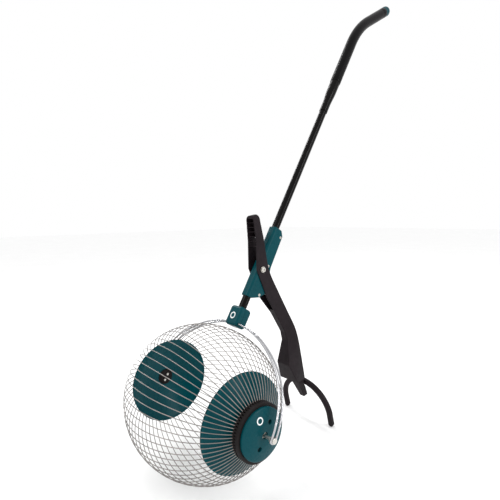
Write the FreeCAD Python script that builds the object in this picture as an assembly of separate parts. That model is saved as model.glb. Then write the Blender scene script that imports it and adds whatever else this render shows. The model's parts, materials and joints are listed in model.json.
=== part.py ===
import FreeCAD, Part
import math
import os

from FreeCAD import Rotation, Vector

# A push-along gatherer for fallen fruit: a wire cage rolls on two axle pins held by a wire bail,
# a long bent handle pushes it, and a squeeze lever swings a fork against the cage to open its wires.
#
# Pieces are drawn in the tool's own frame, in millimetres: X is the axle, Z runs up the straight tube
# through the cage's centre, and Y points back to the user. place() then leans the tool back on to
# its cage and fork, and puts the origin on the floor under the middle of its bounding box.

# Driving dimensions: the cage
CAGE_RADIUS = 150.0
CAGE_HALF_LENGTH = 172.0
WIRE_COUNT = 64
WIRE_RADIUS = 0.75
COMB_RADIUS = 51.5
COMB_SEAT_RADIUS = 46.0
SLOT_WIDTH = 1.9
WIRE_CROWN_RADIUS = 194.0
WIRE_CROWN_ANGLE = 31.0
WIRE_GROUPS = ("upper_front", "lower_front", "lower_back", "upper_back")

# The hub stack, as distances from the cage's centre along the axle
DISC_RIM_RADIUS = 90.0
DISC_RIM_X = 129.0
DISC_CROWN_X = 156.5
DISC_THICKNESS = 2.5
HUB_FLOOR_X = 159.5
COMB_FLANGE_X = 160.0
COMB_RIM_X = 169.0
COMB_TOP_X = 175.0
CAP_RADIUS = 46.0
CAP_RIM_X = 181.0
CAP_CROWN_X = 186.0
CAP_SCREW_RADIUS = 23.0
DISC_HOLE_RADIUS = 12.0
INNER_PLATE_RADIUS = 17.0
INNER_SCREW_OFFSET = 6.8
INNER_SCREW_RADIUS = 1.0
CLIP_RADIUS = 4.6
CLIP_POCKET_RADIUS = 4.9
BUSH_RADIUS = 7.4
BUSH_SHORTFALL = 8.2  # what the bush falls short of the hub room

# Axle pins and bail
PIN_RADIUS = 3.0
RUNNING_CLEARANCE = 0.05
BAIL_WIRE_RADIUS = 2.0
BAIL_HALF_SPAN = 205.0
BAIL_HEIGHT = 165.0
BAIL_HALF_GAP = PIN_RADIUS + BAIL_WIRE_RADIUS
BAIL_INNER_X = 5.0
BAIL_CROWN_ANGLE = 39.9

# Tubes and grip. The tube's line passes a little behind the axle and tips forward of square.
TUBE_SETBACK = 5.5
TUBE_TIP = 0.55
TUBE_RADIUS = 9.0
TUBE_WALL = 1.2
TUBE_FOOT_Z = 172.0
TUBE_TOP_Z = 800.0
UPPER_RADIUS = 12.5
SOCKET_RADIUS = TUBE_RADIUS + TUBE_WALL + 0.1
SOCKET_FOOT_Z = 738.0
NECK_FOOT_Z = 762.0
NECK_TOP_Z = 806.0
GRIP_RADIUS = 13.5
GRIP_FOOT_Z = 833.0
BEND_START_Z = 970.0
BEND_RADIUS = 240.0
BEND_ANGLE = 27.0
TAIL_LENGTH = 104.0
END_CAP_LENGTH = 18.0

# Connector block between bail and tube
BLOCK_HALF_WIDTH = 19.0
BLOCK_HALF_DEPTH = 16.0
BLOCK_SETBACK = 3.0
BLOCK_FOOT_Z = 157.0
BLOCK_TOP_Z = 201.0

# Bracket that carries the lever
BRACKET_HALF_WIDTH = 12.0
BRACKET_FRONT_Y = -11.0
BRACKET_FRONT_ROUND = 8.0
PIVOT_Z = 295.0
BOLT_RADIUS = 3.0

# Return spring inside the bracket
SPRING_CENTRE = (25.0, 258.0)
SPRING_TURNS = 5
SPRING_PITCH = 2.9
SPRING_RADIUS = 5.6
SPRING_WIRE = 1.2
SPRING_FRONT_LEG = 10.0
SPRING_BACK_LEG = 17.0

# Lever and fork
LEVER_HALF_WIDTH = 15.0
LEVER_GAP = 12.4
LEVER_WALL = 3.0
LEVER_CROWN = 11.0
RIB_COUNT = 6
RIB_START = 0.30
RIB_STEP = 0.18
RIB_WALL = 1.8
WEB_END = 0.85
LAST_STATION = 8
STRAIGHT_SPANS = (0, 7)
STEPS_PER_SPAN = 4
FORK_OUTER_RADIUS = 80.0
FORK_BAR = 13.0
FORK_THICKNESS = 13.0
FORK_TINE = 30.8
TANG_HALF_WIDTH = 10.0
TANG_THICKNESS = 6.0
TANG_LENGTH = 32.0
FORK_CROWN = (278.0, 122.5)
FORK_SLOPE = 45.3

# Screws, as shank radius and the radius of the plain hole that stands for a thread
SCREW_RADIUS = 1.5
SCREW_HOLE = 1.6
FORK_SCREW_RADIUS = 2.0

# Stance and gaps
LEAN = 31.66
CLEAR = 0.3
FIT = 0.05

X = Vector(1, 0, 0)
Y = Vector(0, 1, 0)
Z = Vector(0, 0, 1)
SIDES = (("left", -1), ("right", 1))


# Small geometry helpers

def cylinder(radius, start, direction, length):
    return Part.makeCylinder(radius, length, start, direction)


def on_tube(shape):
    """Move a piece drawn about the Z axis on to the tube's own line."""
    moved = shape.copy()
    moved.rotate(Vector(0, 0, 0), X, TUBE_TIP)
    moved.translate(Y * TUBE_SETBACK)
    return moved


def pivot_centre():
    """The lever's pivot, where the cross bolt meets the tube's line."""
    return on_tube(Part.Vertex(0, 0, PIVOT_Z)).Point


def tube(outer, inner, start, direction, length):
    return cylinder(outer, start, direction, length).cut(cylinder(inner, start, direction, length))


def box(low, high):
    size = Vector(*high) - Vector(*low)
    return Part.makeBox(size.x, size.y, size.z, Vector(*low))


def mirrored(shape, side):
    """The shape as drawn for +X, or its mirror image for -X."""
    if side > 0:
        return shape
    return shape.mirror(Vector(0, 0, 0), X)


def fuse_all(shapes):
    return shapes[0].multiFuse(shapes[1:]).removeSplitter() if len(shapes) > 1 else shapes[0]


def cut_all(shape, tools):
    return shape.cut(Part.makeCompound(tools))


def softened(shape, radius, edges):
    """Fillet the edges, or return the shape as it is where none is given."""
    return shape.makeFillet(radius, edges) if edges else shape


def rounded_wire(points, radius):
    """A closed outline through 3D points in one plane, with every corner rounded."""
    edges = []
    count = len(points)
    starts = []
    ends = []
    for index, corner in enumerate(points):
        before = (points[index - 1] - corner).normalize()
        after = (points[(index + 1) % count] - corner).normalize()
        half_angle = before.getAngle(after) / 2
        reach = radius / math.tan(half_angle)
        middle = (before + after).normalize()
        centre_gap = radius / math.sin(half_angle)
        start = corner + before * reach
        end = corner + after * reach
        summit = corner + middle * (centre_gap - radius)
        edges.append(Part.Arc(start, summit, end).toShape())
        starts.append(start)
        ends.append(end)
    for index in range(count):
        edges.append(Part.LineSegment(ends[index], starts[(index + 1) % count]).toShape())
    return Part.Wire(Part.__sortEdges__(edges))


def side_plate(outline, radius, x_low, x_high):
    """A plate whose side view is the (y, z) outline, from x_low to x_high."""
    points = [Vector(x_low, y, z) for y, z in outline]
    return Part.Face(rounded_wire(points, radius)).extrude(X * (x_high - x_low))


def turned(profile, side):
    """A solid turned about the axle from (x, radius) points."""
    points = [Vector(x, 0, radius) for x, radius in profile]
    face = Part.Face(Part.makePolygon(points + points[:1]))
    return mirrored(face.revolve(Vector(0, 0, 0), X, 360), side)


def disc_face(radius, centre, normal):
    return Part.Face(Part.Wire(Part.makeCircle(radius, centre, normal)))


def arc_rod(rod_radius, centre, radius, first, last):
    """A round rod along an arc in the plane y = 0, its angles in degrees from +Z towards +X."""
    angle = math.radians(first)
    out = Vector(math.sin(angle), 0, math.cos(angle))
    along = Vector(math.cos(angle), 0, -math.sin(angle))
    return disc_face(rod_radius, centre + out * radius, along).revolve(centre, Y, last - first)


def side_arc(crown_centre, crown_radius, crown_angle, end):
    """Centre, radius and last angle of the arc that leaves a crown arc smoothly and ends at end."""
    angle = math.radians(crown_angle)
    out = Vector(math.sin(angle), 0, math.cos(angle))
    start = crown_centre + out * crown_radius
    step = end - start
    radius = -step.dot(step) / (2 * step.dot(out))
    centre = start - out * radius
    return centre, radius, math.degrees(math.atan2(end.x - centre.x, end.z - centre.z))


def pan_head_screw(head_radius, head_height, shank_radius, length, seat, direction):
    """A screw with its head's underside at seat, its shank along direction, and a cross recess."""
    head = cylinder(head_radius, seat, -direction, head_height)
    shank = cylinder(shank_radius, seat, direction, length)
    screw = head.fuse(shank)
    top = seat - direction * head_height
    across = direction.cross(X) if abs(direction.x) < 0.5 else direction.cross(Y)
    across.normalize()
    along = direction.cross(across)
    depth = head_height * 0.5
    slots = []
    for arm, width in ((across, along), (along, across)):
        corner = top - arm * (head_radius * 0.6) - width * (head_radius * 0.14)
        path = [corner, corner + arm * (head_radius * 1.2)]
        far = width * (head_radius * 0.28)
        face = Part.Face(Part.makePolygon([path[0], path[1], path[1] + far, path[0] + far, path[0]]))
        slots.append(face.extrude(direction * depth))
    return cut_all(screw, slots)


# The rolling cage

def cage_wire():
    """One wire in the plane y = 0: a wide crown arc and two side arcs that end in the hubs."""
    crown_z = CAGE_RADIUS - WIRE_RADIUS
    end_x = CAGE_HALF_LENGTH * math.sqrt(1 - (COMB_SEAT_RADIUS / crown_z) ** 2)
    crown_centre = Z * (crown_z - WIRE_CROWN_RADIUS)
    centre, radius, end_angle = side_arc(
        crown_centre, WIRE_CROWN_RADIUS, WIRE_CROWN_ANGLE, Vector(end_x, 0, COMB_SEAT_RADIUS))
    crown = arc_rod(WIRE_RADIUS, crown_centre, WIRE_CROWN_RADIUS, -WIRE_CROWN_ANGLE, WIRE_CROWN_ANGLE)
    arm = arc_rod(WIRE_RADIUS, centre, radius, WIRE_CROWN_ANGLE, end_angle)
    return fuse_all([crown, arm, mirrored(arm, -1)])


def wire_angles():
    step = 360.0 / WIRE_COUNT
    return [(index + 0.5) * step for index in range(WIRE_COUNT)]


def basket_wires():
    """The wires in four groups round the axle, from the top over the front."""
    first = cage_wire()
    groups = {name: [] for name in WIRE_GROUPS}
    for angle in wire_angles():
        wire = first.copy()
        wire.rotate(Vector(0, 0, 0), X, angle)
        groups[WIRE_GROUPS[int(angle * len(WIRE_GROUPS) // 360)]].append(wire)
    return {"wires_" + name: Part.makeCompound(wires) for name, wires in groups.items()}


def disc_x(radius):
    """Outer face of the dished disc at a radius from the axle."""
    rise = DISC_CROWN_X - DISC_RIM_X
    sphere = (DISC_RIM_RADIUS ** 2 + rise ** 2) / (2 * rise)
    return DISC_CROWN_X - sphere + math.sqrt(sphere ** 2 - radius ** 2)


def hub_disc(side):
    """A dished disc with a rolled rim, inside the wires at one end of the cage."""
    steps = 12
    width = DISC_RIM_RADIUS - DISC_HOLE_RADIUS
    radii = [DISC_HOLE_RADIUS + width * index / steps for index in range(steps + 1)]
    outer = [Vector(disc_x(radius), 0, radius) for radius in radii]
    inner = [Vector(disc_x(radius) - DISC_THICKNESS, 0, radius) for radius in radii]
    edges = [
        interpolated(outer),
        Part.LineSegment(outer[-1], inner[-1]).toShape(),
        interpolated(inner),
        Part.LineSegment(inner[0], outer[0]).toShape(),
    ]
    face = Part.Face(Part.Wire(Part.__sortEdges__(edges)))
    disc = face.revolve(Vector(0, 0, 0), X, 360)
    rim_x = DISC_RIM_X - DISC_THICKNESS / 2
    rim = Part.makeTorus(DISC_RIM_RADIUS - 0.5, 2.2, Vector(rim_x, 0, 0), X)
    return mirrored(disc.fuse(rim).removeSplitter(), side)


def interpolated(points):
    curve = Part.BSplineCurve()
    curve.interpolate(points)
    return curve.toShape()


def comb_hub(side):
    """The slotted hub that the wire ends sit in: skirt, floor, comb wall and bearing boss."""
    skirt_x = disc_x(COMB_SEAT_RADIUS - 7) + CLEAR
    wall_foot = COMB_SEAT_RADIUS - 4
    profile = [
        (DISC_CROWN_X + CLEAR, CLIP_POCKET_RADIUS), (DISC_CROWN_X + CLEAR, 24.0), (skirt_x, wall_foot - 3),
        (skirt_x, wall_foot), (COMB_FLANGE_X, wall_foot), (COMB_FLANGE_X, COMB_RADIUS),
        (COMB_TOP_X, COMB_RADIUS), (COMB_TOP_X, wall_foot),
        (HUB_FLOOR_X + 3, wall_foot - 3), (HUB_FLOOR_X + 3, 14.0), (COMB_TOP_X, 14.0),
        (COMB_TOP_X, 7.5), (HUB_FLOOR_X + 3, 7.5), (HUB_FLOOR_X + 3, CLIP_POCKET_RADIUS),
    ]
    hub = turned(profile, 1)
    bosses = []
    for turn in (0, 180):
        post = cylinder(5.0, Vector(HUB_FLOOR_X, 0, CAP_SCREW_RADIUS), X, COMB_TOP_X - HUB_FLOOR_X)
        post.rotate(Vector(0, 0, 0), X, turn)
        bosses.append(post)
    hub = fuse_all([hub] + bosses)
    tools = []
    for turn in (0, 180):
        outer_hole = cylinder(SCREW_HOLE, Vector(HUB_FLOOR_X, 0, CAP_SCREW_RADIUS), X, 20)
        inner_hole = cylinder(INNER_SCREW_RADIUS + 0.1, Vector(DISC_CROWN_X, 0, INNER_SCREW_OFFSET), X, 5)
        for hole in (outer_hole, inner_hole):
            hole.rotate(Vector(0, 0, 0), X, turn)
            tools.append(hole)
    slot = box(
        (COMB_FLANGE_X - 1, -SLOT_WIDTH / 2, COMB_SEAT_RADIUS - 1.5),
        (COMB_RIM_X, SLOT_WIDTH / 2, COMB_RADIUS + 1),
    )
    for angle in wire_angles():
        cutter = slot.copy()
        cutter.rotate(Vector(0, 0, 0), X, angle)
        tools.append(cutter)
    return mirrored(cut_all(hub, tools), side)


def hub_cap(side):
    """The domed outer cap over the wire ends, bored for the axle pin and countersunk for two screws."""
    seat = COMB_TOP_X + 0.1
    profile = [
        (seat, 8.0), (seat, CAP_RADIUS), (CAP_RIM_X - 1.2, CAP_RADIUS), (CAP_RIM_X, CAP_RADIUS - 2.0),
        (CAP_RIM_X + 1.6, 38.0), (CAP_RIM_X + 3.6, 29.0), (CAP_RIM_X + 5.0, 19.0),
        (CAP_CROWN_X, 10.0), (CAP_CROWN_X, 6.0), (CAP_CROWN_X - 5, 6.0), (CAP_CROWN_X - 5, 8.0),
    ]
    cap = turned(profile, 1)
    tools = []
    for turn in (0, 180):
        hole = cylinder(2.2, Vector(seat - 1, 0, CAP_SCREW_RADIUS), X, 20)
        recess = cylinder(4.2, Vector(seat + 3, 0, CAP_SCREW_RADIUS), X, 20)
        for tool in (hole, recess):
            tool.rotate(Vector(0, 0, 0), X, turn)
            tools.append(tool)
    return mirrored(cut_all(cap, tools), side)


def hub_bush(side):
    start = Vector(HUB_FLOOR_X + 3, 0, 0)
    bore = PIN_RADIUS + RUNNING_CLEARANCE
    length = CAP_CROWN_X - HUB_FLOOR_X - BUSH_SHORTFALL
    return mirrored(tube(BUSH_RADIUS, bore, start, X, length), side)


def inner_plate(side):
    """The round plate inside the disc that closes the axle end."""
    back_x = disc_x(INNER_PLATE_RADIUS) - DISC_THICKNESS - CLEAR
    profile = [
        (back_x - 3.2, 0.0), (back_x - 3.2, 12.0), (back_x - 2.2, INNER_PLATE_RADIUS - 1.5),
        (back_x - 1.0, INNER_PLATE_RADIUS), (back_x, INNER_PLATE_RADIUS), (back_x, 0.0),
    ]
    plate = turned(profile, 1)
    tools = []
    for turn in (0, 180):
        hole = cylinder(INNER_SCREW_RADIUS + 0.1, Vector(100, 0, INNER_SCREW_OFFSET), X, 100)
        hole.rotate(Vector(0, 0, 0), X, turn)
        tools.append(hole)
    return mirrored(cut_all(plate, tools), side)


def ring_of_screws(seat_x, offset, screw, side):
    """Two equal screws on opposite sides of the axle."""
    screws = []
    for turn in (0, 180):
        piece = screw(Vector(seat_x, 0, offset))
        piece.rotate(Vector(0, 0, 0), X, turn)
        screws.append(mirrored(piece, side))
    return screws


def cap_screws():
    screws = []
    for _, side in SIDES:
        screws += ring_of_screws(
            COMB_TOP_X + 3.1, CAP_SCREW_RADIUS,
            lambda seat: pan_head_screw(3.6, 2.4, SCREW_RADIUS, 9.0, seat, -X), side)
    return Part.makeCompound(screws)


def inner_plate_screws():
    seat_x = disc_x(INNER_PLATE_RADIUS) - DISC_THICKNESS - CLEAR - 3.2
    screws = []
    for _, side in SIDES:
        screws += ring_of_screws(
            seat_x, INNER_SCREW_OFFSET,
            lambda seat: pan_head_screw(2.6, 1.6, INNER_SCREW_RADIUS, 11.0, seat, X), side)
    return Part.makeCompound(screws)


# Axle pins and bail

def axle_pin(side):
    inner_x = HUB_FLOOR_X - 1.5
    outer_x = BAIL_HALF_SPAN + BAIL_WIRE_RADIUS + 0.3
    pin = cylinder(PIN_RADIUS, Vector(inner_x, 0, 0), X, outer_x - inner_x)
    head = cylinder(5.2, Vector(outer_x, 0, 0), X, 2.2)
    head = softened(head, 0.9, [edge for edge in head.Edges if edge.BoundBox.XMin > outer_x + 2])
    return mirrored(pin.fuse(head).removeSplitter(), side)


def axle_clips():
    """A retaining ring on each pin, in the pocket behind the bush."""
    rings = []
    for _, side in SIDES:
        ring = tube(CLIP_RADIUS, PIN_RADIUS + 0.01, Vector(HUB_FLOOR_X - 0.6, 0, 0), X, 1.2)
        gap = box((HUB_FLOOR_X - 1, -1.5, -7), (HUB_FLOOR_X + 2, 1.5, 0))
        rings.append(mirrored(ring.cut(gap), side))
    return Part.makeCompound(rings)


def axle_washers():
    """A washer on each pin, on the inner side of the bail's loop."""
    rings = []
    for _, side in SIDES:
        start = Vector(BAIL_HALF_SPAN - BAIL_WIRE_RADIUS - 1.7, 0, 0)
        rings.append(mirrored(tube(6.5, PIN_RADIUS + FIT, start, X, 1.5), side))
    return Part.makeCompound(rings)


def bail_crown_radius():
    """The crown radius that brings the side arc down square to the axle."""
    angle = math.radians(BAIL_CROWN_ANGLE)
    lean = (1 - math.sin(angle)) / math.cos(angle)
    rise = math.sin(angle) - lean * (1 - math.cos(angle))
    return (BAIL_HALF_SPAN - BAIL_HEIGHT * lean) / rise


def bail_leg(wire_radius):
    """One leg of the bail in the plane y = 0, from the block down to the axle pin."""
    crown_radius = bail_crown_radius()
    crown_centre = Z * (BAIL_HEIGHT - crown_radius)
    centre, radius, _ = side_arc(crown_centre, crown_radius, BAIL_CROWN_ANGLE, X * BAIL_HALF_SPAN)
    start_angle = math.degrees(math.asin(BAIL_INNER_X / crown_radius))
    crown = arc_rod(wire_radius, crown_centre, crown_radius, start_angle, BAIL_CROWN_ANGLE)
    arm = arc_rod(wire_radius, centre, radius, BAIL_CROWN_ANGLE, 90)
    return fuse_all([crown, arm])


def bail_legs(wire_radius):
    """The two legs of one side of the bail, one on each side of the axle pin."""
    legs = []
    for sign in (1, -1):
        leg = bail_leg(wire_radius)
        leg.translate(Y * (sign * BAIL_HALF_GAP))
        legs.append(leg)
    return legs


def bail(side):
    """One side of the bail: two legs joined by a loop under the axle pin."""
    start = Vector(BAIL_HALF_SPAN, BAIL_HALF_GAP, 0)
    loop = disc_face(BAIL_WIRE_RADIUS, start, Z).revolve(X * BAIL_HALF_SPAN, X, -180)
    return mirrored(fuse_all(bail_legs(BAIL_WIRE_RADIUS) + [loop]), side)


# Connector block

def block_body():
    body = box(
        (-BLOCK_HALF_WIDTH, BLOCK_SETBACK - BLOCK_HALF_DEPTH, BLOCK_FOOT_Z),
        (BLOCK_HALF_WIDTH, BLOCK_SETBACK + BLOCK_HALF_DEPTH, BLOCK_TOP_Z),
    )
    body = softened(body, 7.0, body.Edges)
    tools = [on_tube(cylinder(TUBE_RADIUS + FIT, Vector(0, 0, TUBE_FOOT_Z), Z, 60))]
    for _, side in SIDES:
        for piece in bail_legs(BAIL_WIRE_RADIUS + FIT):
            tools.append(mirrored(piece, side))
    return cut_all(body, tools)


def block_half(front):
    reach = 60.0
    if front:
        keep = box((-reach, -reach, 0), (reach, -0.1, 300))
    else:
        keep = box((-reach, 0.1, 0), (reach, reach, 300))
    half = block_body().common(keep)
    tools = []
    for x in (-14.0, 14.0):
        tools.append(cylinder(SCREW_HOLE, Vector(x, BLOCK_SETBACK + 14, 193), -Y, 24))
        tools.append(cylinder(3.6, Vector(x, BLOCK_SETBACK + BLOCK_HALF_DEPTH + 1, 193), -Y, 4.0))
    return cut_all(half, tools)


def block_screws():
    seat_y = BLOCK_SETBACK + BLOCK_HALF_DEPTH - 2.95
    screws = []
    for x in (-14.0, 14.0):
        screws.append(pan_head_screw(3.2, 2.0, SCREW_RADIUS, 18.0, Vector(x, seat_y, 193), -Y))
    return Part.makeCompound(screws)


# Tubes, grip and cap

def shaft_tube():
    length = TUBE_TOP_Z - TUBE_FOOT_Z
    body = tube(TUBE_RADIUS, TUBE_RADIUS - TUBE_WALL, Z * TUBE_FOOT_Z, Z, length)
    bolt_hole = cylinder(BOLT_RADIUS + FIT, Vector(-20, 0, PIVOT_Z), X, 40)
    button_hole = cylinder(3.1, Vector(0, 0, 750), Y, 20)
    return cut_all(body, [bolt_hole, button_hole])


def handle_spine(start_z, end_inset):
    """Centre line of the upper tube from start_z: straight, one bend back, then the tail."""
    angle = math.radians(BEND_ANGLE)
    start = Vector(0, 0, start_z)
    bend_start = Vector(0, 0, BEND_START_Z)
    middle = Vector(
        0, BEND_RADIUS * (1 - math.cos(angle / 2)), BEND_START_Z + BEND_RADIUS * math.sin(angle / 2))
    bend_end = Vector(
        0, BEND_RADIUS * (1 - math.cos(angle)), BEND_START_Z + BEND_RADIUS * math.sin(angle))
    tail = Vector(0, math.sin(angle), math.cos(angle))
    end = bend_end + tail * (TAIL_LENGTH - end_inset)
    wire = Part.Wire([
        Part.LineSegment(start, bend_start).toShape(),
        Part.Arc(bend_start, middle, bend_end).toShape(),
        Part.LineSegment(bend_end, end).toShape(),
    ])
    return wire, end, tail


def swept(radius, start_z, end_inset):
    wire, _, _ = handle_spine(start_z, end_inset)
    circle = Part.Wire(Part.makeCircle(radius, Vector(0, 0, start_z), Z))
    return wire.makePipeShell([circle], True, False)


def handle_tube():
    """The upper tube, with a swaged neck and a socket over the lower tube."""
    outer = swept(UPPER_RADIUS, NECK_TOP_Z, 0)
    inner = swept(UPPER_RADIUS - TUBE_WALL, NECK_TOP_Z, 0)
    neck = Part.makeCone(
        SOCKET_RADIUS, UPPER_RADIUS, NECK_TOP_Z - NECK_FOOT_Z, Z * NECK_FOOT_Z, Z)
    neck_inner = Part.makeCone(
        TUBE_RADIUS + 0.1, UPPER_RADIUS - TUBE_WALL, NECK_TOP_Z - NECK_FOOT_Z, Z * NECK_FOOT_Z, Z)
    socket = cylinder(SOCKET_RADIUS, Z * SOCKET_FOOT_Z, Z, NECK_FOOT_Z - SOCKET_FOOT_Z)
    socket_inner = cylinder(TUBE_RADIUS + 0.1, Z * SOCKET_FOOT_Z, Z, NECK_FOOT_Z - SOCKET_FOOT_Z)
    solid = fuse_all([outer, neck, socket])
    hollow = fuse_all([inner, neck_inner, socket_inner])
    return cut_all(solid, [hollow, cylinder(3.1, Vector(0, 0, 750), Y, 20)])


def snap_button():
    """The spring button that locks the two tubes: a domed pin on a leaf inside the tube."""
    pin = cylinder(3.0, Vector(0, 5.4, 750), Y, 6.0)
    pin = softened(pin, 1.5, [edge for edge in pin.Edges if edge.BoundBox.YMin > 11])
    leaf = box((-3, 4.6, 720), (3, 5.6, 756))
    foot = box((-3, -6.4, 719), (3, 5.6, 720))
    back = box((-3, -6.4, 719), (3, -5.4, 745))
    return fuse_all([pin, leaf, foot, back])


def grip_sleeve():
    outer = swept(GRIP_RADIUS, GRIP_FOOT_Z, END_CAP_LENGTH - 6)
    inner = swept(UPPER_RADIUS + FIT, GRIP_FOOT_Z, END_CAP_LENGTH - 6)
    return outer.cut(inner)


def end_cap():
    _, end, tail = handle_spine(GRIP_FOOT_Z, 0)
    skirt_start = end - tail * 12.0
    skirt = tube(GRIP_RADIUS, UPPER_RADIUS + FIT, skirt_start + tail * 0.2, tail, 12.0)
    crown = cylinder(GRIP_RADIUS, end, tail, END_CAP_LENGTH - 10)
    body = skirt.fuse(crown).removeSplitter()
    rim = end + tail * (END_CAP_LENGTH - 10)
    edges = [edge for edge in body.Edges if edge.CenterOfMass.distanceToPoint(rim) < 0.5]
    return softened(body, 6.0, edges)


# Bracket on the tube

def bracket_outline():
    """Side view of the bracket: a straight front, a blunt top, and a fan at the foot."""
    return [
        (BRACKET_FRONT_Y, 228.0), (BRACKET_FRONT_Y, 399.0), (12.0, 400.0), (21.5, 389.0),
        (24.0, 310.0), (40.0, 254.0), (24.0, 237.0), (4.0, 227.5),
    ]


def bracket_envelope():
    """A tall block whose front corners have the large radius of the bracket's front."""
    front = BRACKET_FRONT_Y
    block = box((-BRACKET_HALF_WIDTH, front, 200), (BRACKET_HALF_WIDTH, 60, 420))
    corners = [edge for edge in block.Edges
               if abs(edge.CenterOfMass.y - front) < FIT
               and abs(abs(edge.CenterOfMass.x) - BRACKET_HALF_WIDTH) < FIT]
    return block.makeFillet(BRACKET_FRONT_ROUND, corners)


def bracket_body():
    body = side_plate(bracket_outline(), 3.0, -BRACKET_HALF_WIDTH, BRACKET_HALF_WIDTH)
    rims = [edge for edge in body.Edges
            if abs(abs(edge.CenterOfMass.x) - BRACKET_HALF_WIDTH) < 0.01]
    body = softened(body, 2.2, rims).common(bracket_envelope())
    tools = [
        cylinder(TUBE_RADIUS + FIT, Z * 200, Z, 250),
        cylinder(BOLT_RADIUS + FIT, Vector(-30, 0, PIVOT_Z), X, 60),
        box((-7.0, 18.5, 366), (7.0, 30, 386)),
    ]
    tools.append(side_plate([(12, 372), (18, 372), (20.5, 318), (12, 318)], 1.5, -9, 9))
    return cut_all(body, tools + spring_room())


def spring_room():
    """The pocket for the return spring's coil, and the slots for its two legs."""
    centre_y, centre_z = SPRING_CENTRE
    half_length = SPRING_TURNS * SPRING_PITCH / 2
    half_slot = SPRING_WIRE + 0.2
    half_pocket = half_length + half_slot
    pocket = cylinder(
        SPRING_RADIUS + SPRING_WIRE + 0.6, Vector(-half_pocket, centre_y, centre_z), X, 2 * half_pocket)
    rooms = [pocket]
    leg_z = centre_z - SPRING_RADIUS
    for x, reach in ((-half_length, -SPRING_FRONT_LEG - 1), (half_length, SPRING_BACK_LEG + 20)):
        low_y = centre_y + min(reach, 0)
        high_y = centre_y + max(reach, 0)
        low = (x - half_slot, low_y, leg_z - half_slot)
        high = (x + half_slot, high_y, leg_z + half_slot)
        rooms.append(box(low, high))
    return rooms


def bracket_screw_places():
    return [(16.5, 384.0), (14.5, 310.0), (22.0, 242.5)]


def bracket_half(side):
    reach = 60.0
    if side > 0:
        keep = box((0.1, -reach, 0), (reach, reach, 500))
    else:
        keep = box((-reach, -reach, 0), (-0.1, reach, 500))
    half = bracket_body().common(keep)
    tools = []
    for y, z in bracket_screw_places():
        tools.append(cylinder(SCREW_HOLE, Vector(-10, y, z), X, 40))
        tools.append(cylinder(3.3, Vector(BRACKET_HALF_WIDTH - 2.4, y, z), X, 10))
    return cut_all(half, tools)


def bracket_screws():
    screws = []
    for y, z in bracket_screw_places():
        seat = Vector(BRACKET_HALF_WIDTH - 2.3, y, z)
        screws.append(pan_head_screw(3.0, 1.9, SCREW_RADIUS, 18.0, seat, -X))
    return Part.makeCompound(screws)


def pivot_stack():
    """Bolt, nut and washers of the lever's cross bolt, as three shapes."""
    face = LEVER_HALF_WIDTH + CLEAR
    washers = []
    for _, side in SIDES:
        ring = tube(6.6, BOLT_RADIUS + FIT, Vector(face, 0, PIVOT_Z), X, 1.0)
        washers.append(mirrored(ring, side))
    seat_x = face + 1.05
    shank = cylinder(BOLT_RADIUS, Vector(-seat_x - 5.0, 0, PIVOT_Z), X, 2 * seat_x + 5.0)
    head = cylinder(5.6, Vector(seat_x, 0, PIVOT_Z), X, 3.2)
    head = softened(head, 1.4, [edge for edge in head.Edges if edge.BoundBox.XMin > seat_x + 3])
    socket = hexagon(2.6, Vector(seat_x + 1.2, 0, PIVOT_Z), 4.0)
    bolt = head.fuse(shank).removeSplitter().cut(socket)
    nut = hexagon(5.6, Vector(-seat_x - 4.8, 0, PIVOT_Z), 4.8)
    nut = nut.cut(cylinder(BOLT_RADIUS + 0.01, Vector(-seat_x - 6, 0, PIVOT_Z), X, 8))
    return bolt, nut, Part.makeCompound(washers)


def hexagon(radius, start, length):
    """A hexagonal prism along +X from start."""
    points = []
    for index in range(7):
        angle = math.radians(60 * index)
        points.append(start + Y * (radius * math.cos(angle)) + Z * (radius * math.sin(angle)))
    return Part.Face(Part.makePolygon(points)).extrude(X * length)


def return_spring():
    """The lever's return spring, a torsion coil with two legs, drawn with the lever squeezed."""
    length = SPRING_TURNS * SPRING_PITCH
    helix = Part.makeHelix(SPRING_PITCH, length, SPRING_RADIUS)
    start = helix.Edges[0].valueAt(helix.Edges[0].FirstParameter)
    circle = Part.Wire(Part.makeCircle(SPRING_WIRE, start, Y))
    coil = Part.Wire(helix.Edges).makePipeShell([circle], True, True)
    front_leg = cylinder(SPRING_WIRE, start, -Y, SPRING_FRONT_LEG)
    back_leg = cylinder(SPRING_WIRE, start + Z * length, Y, SPRING_BACK_LEG)
    spring = fuse_all([coil, front_leg, back_leg])
    spring.rotate(Vector(0, 0, 0), Y, 90)
    spring.translate(Vector(-length / 2, *SPRING_CENTRE))
    return spring


# Squeeze lever and fork

def lever_stations():
    """Sections down the lever: front (y, z), back (y, z), half width in front, half width at the back."""
    return [
        ((-80.0, 384.0), (-67.0, 395.5), 12.5, 12.5),
        ((-45.5, 340.0), (-26.5, 353.0), LEVER_HALF_WIDTH, LEVER_HALF_WIDTH),
        ((-12.5, 287.0), (19.5, 304.5), LEVER_HALF_WIDTH, LEVER_HALF_WIDTH),
        ((47.0, 246.0), (70.0, 275.0), LEVER_HALF_WIDTH, LEVER_HALF_WIDTH),
        ((98.0, 226.0), (125.0, 246.0), 9.0, LEVER_HALF_WIDTH),
        ((150.0, 200.0), (167.0, 224.0), 8.5, LEVER_HALF_WIDTH),
        ((168.0, 184.0), (193.5, 204.0), 10.0, LEVER_HALF_WIDTH),
        ((192.0, 133.0), (222.0, 176.0), 20.0, LEVER_HALF_WIDTH),
        ((234.0, 104.0), (270.0, 123.0), 30.0, 17.0),
    ]


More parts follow.
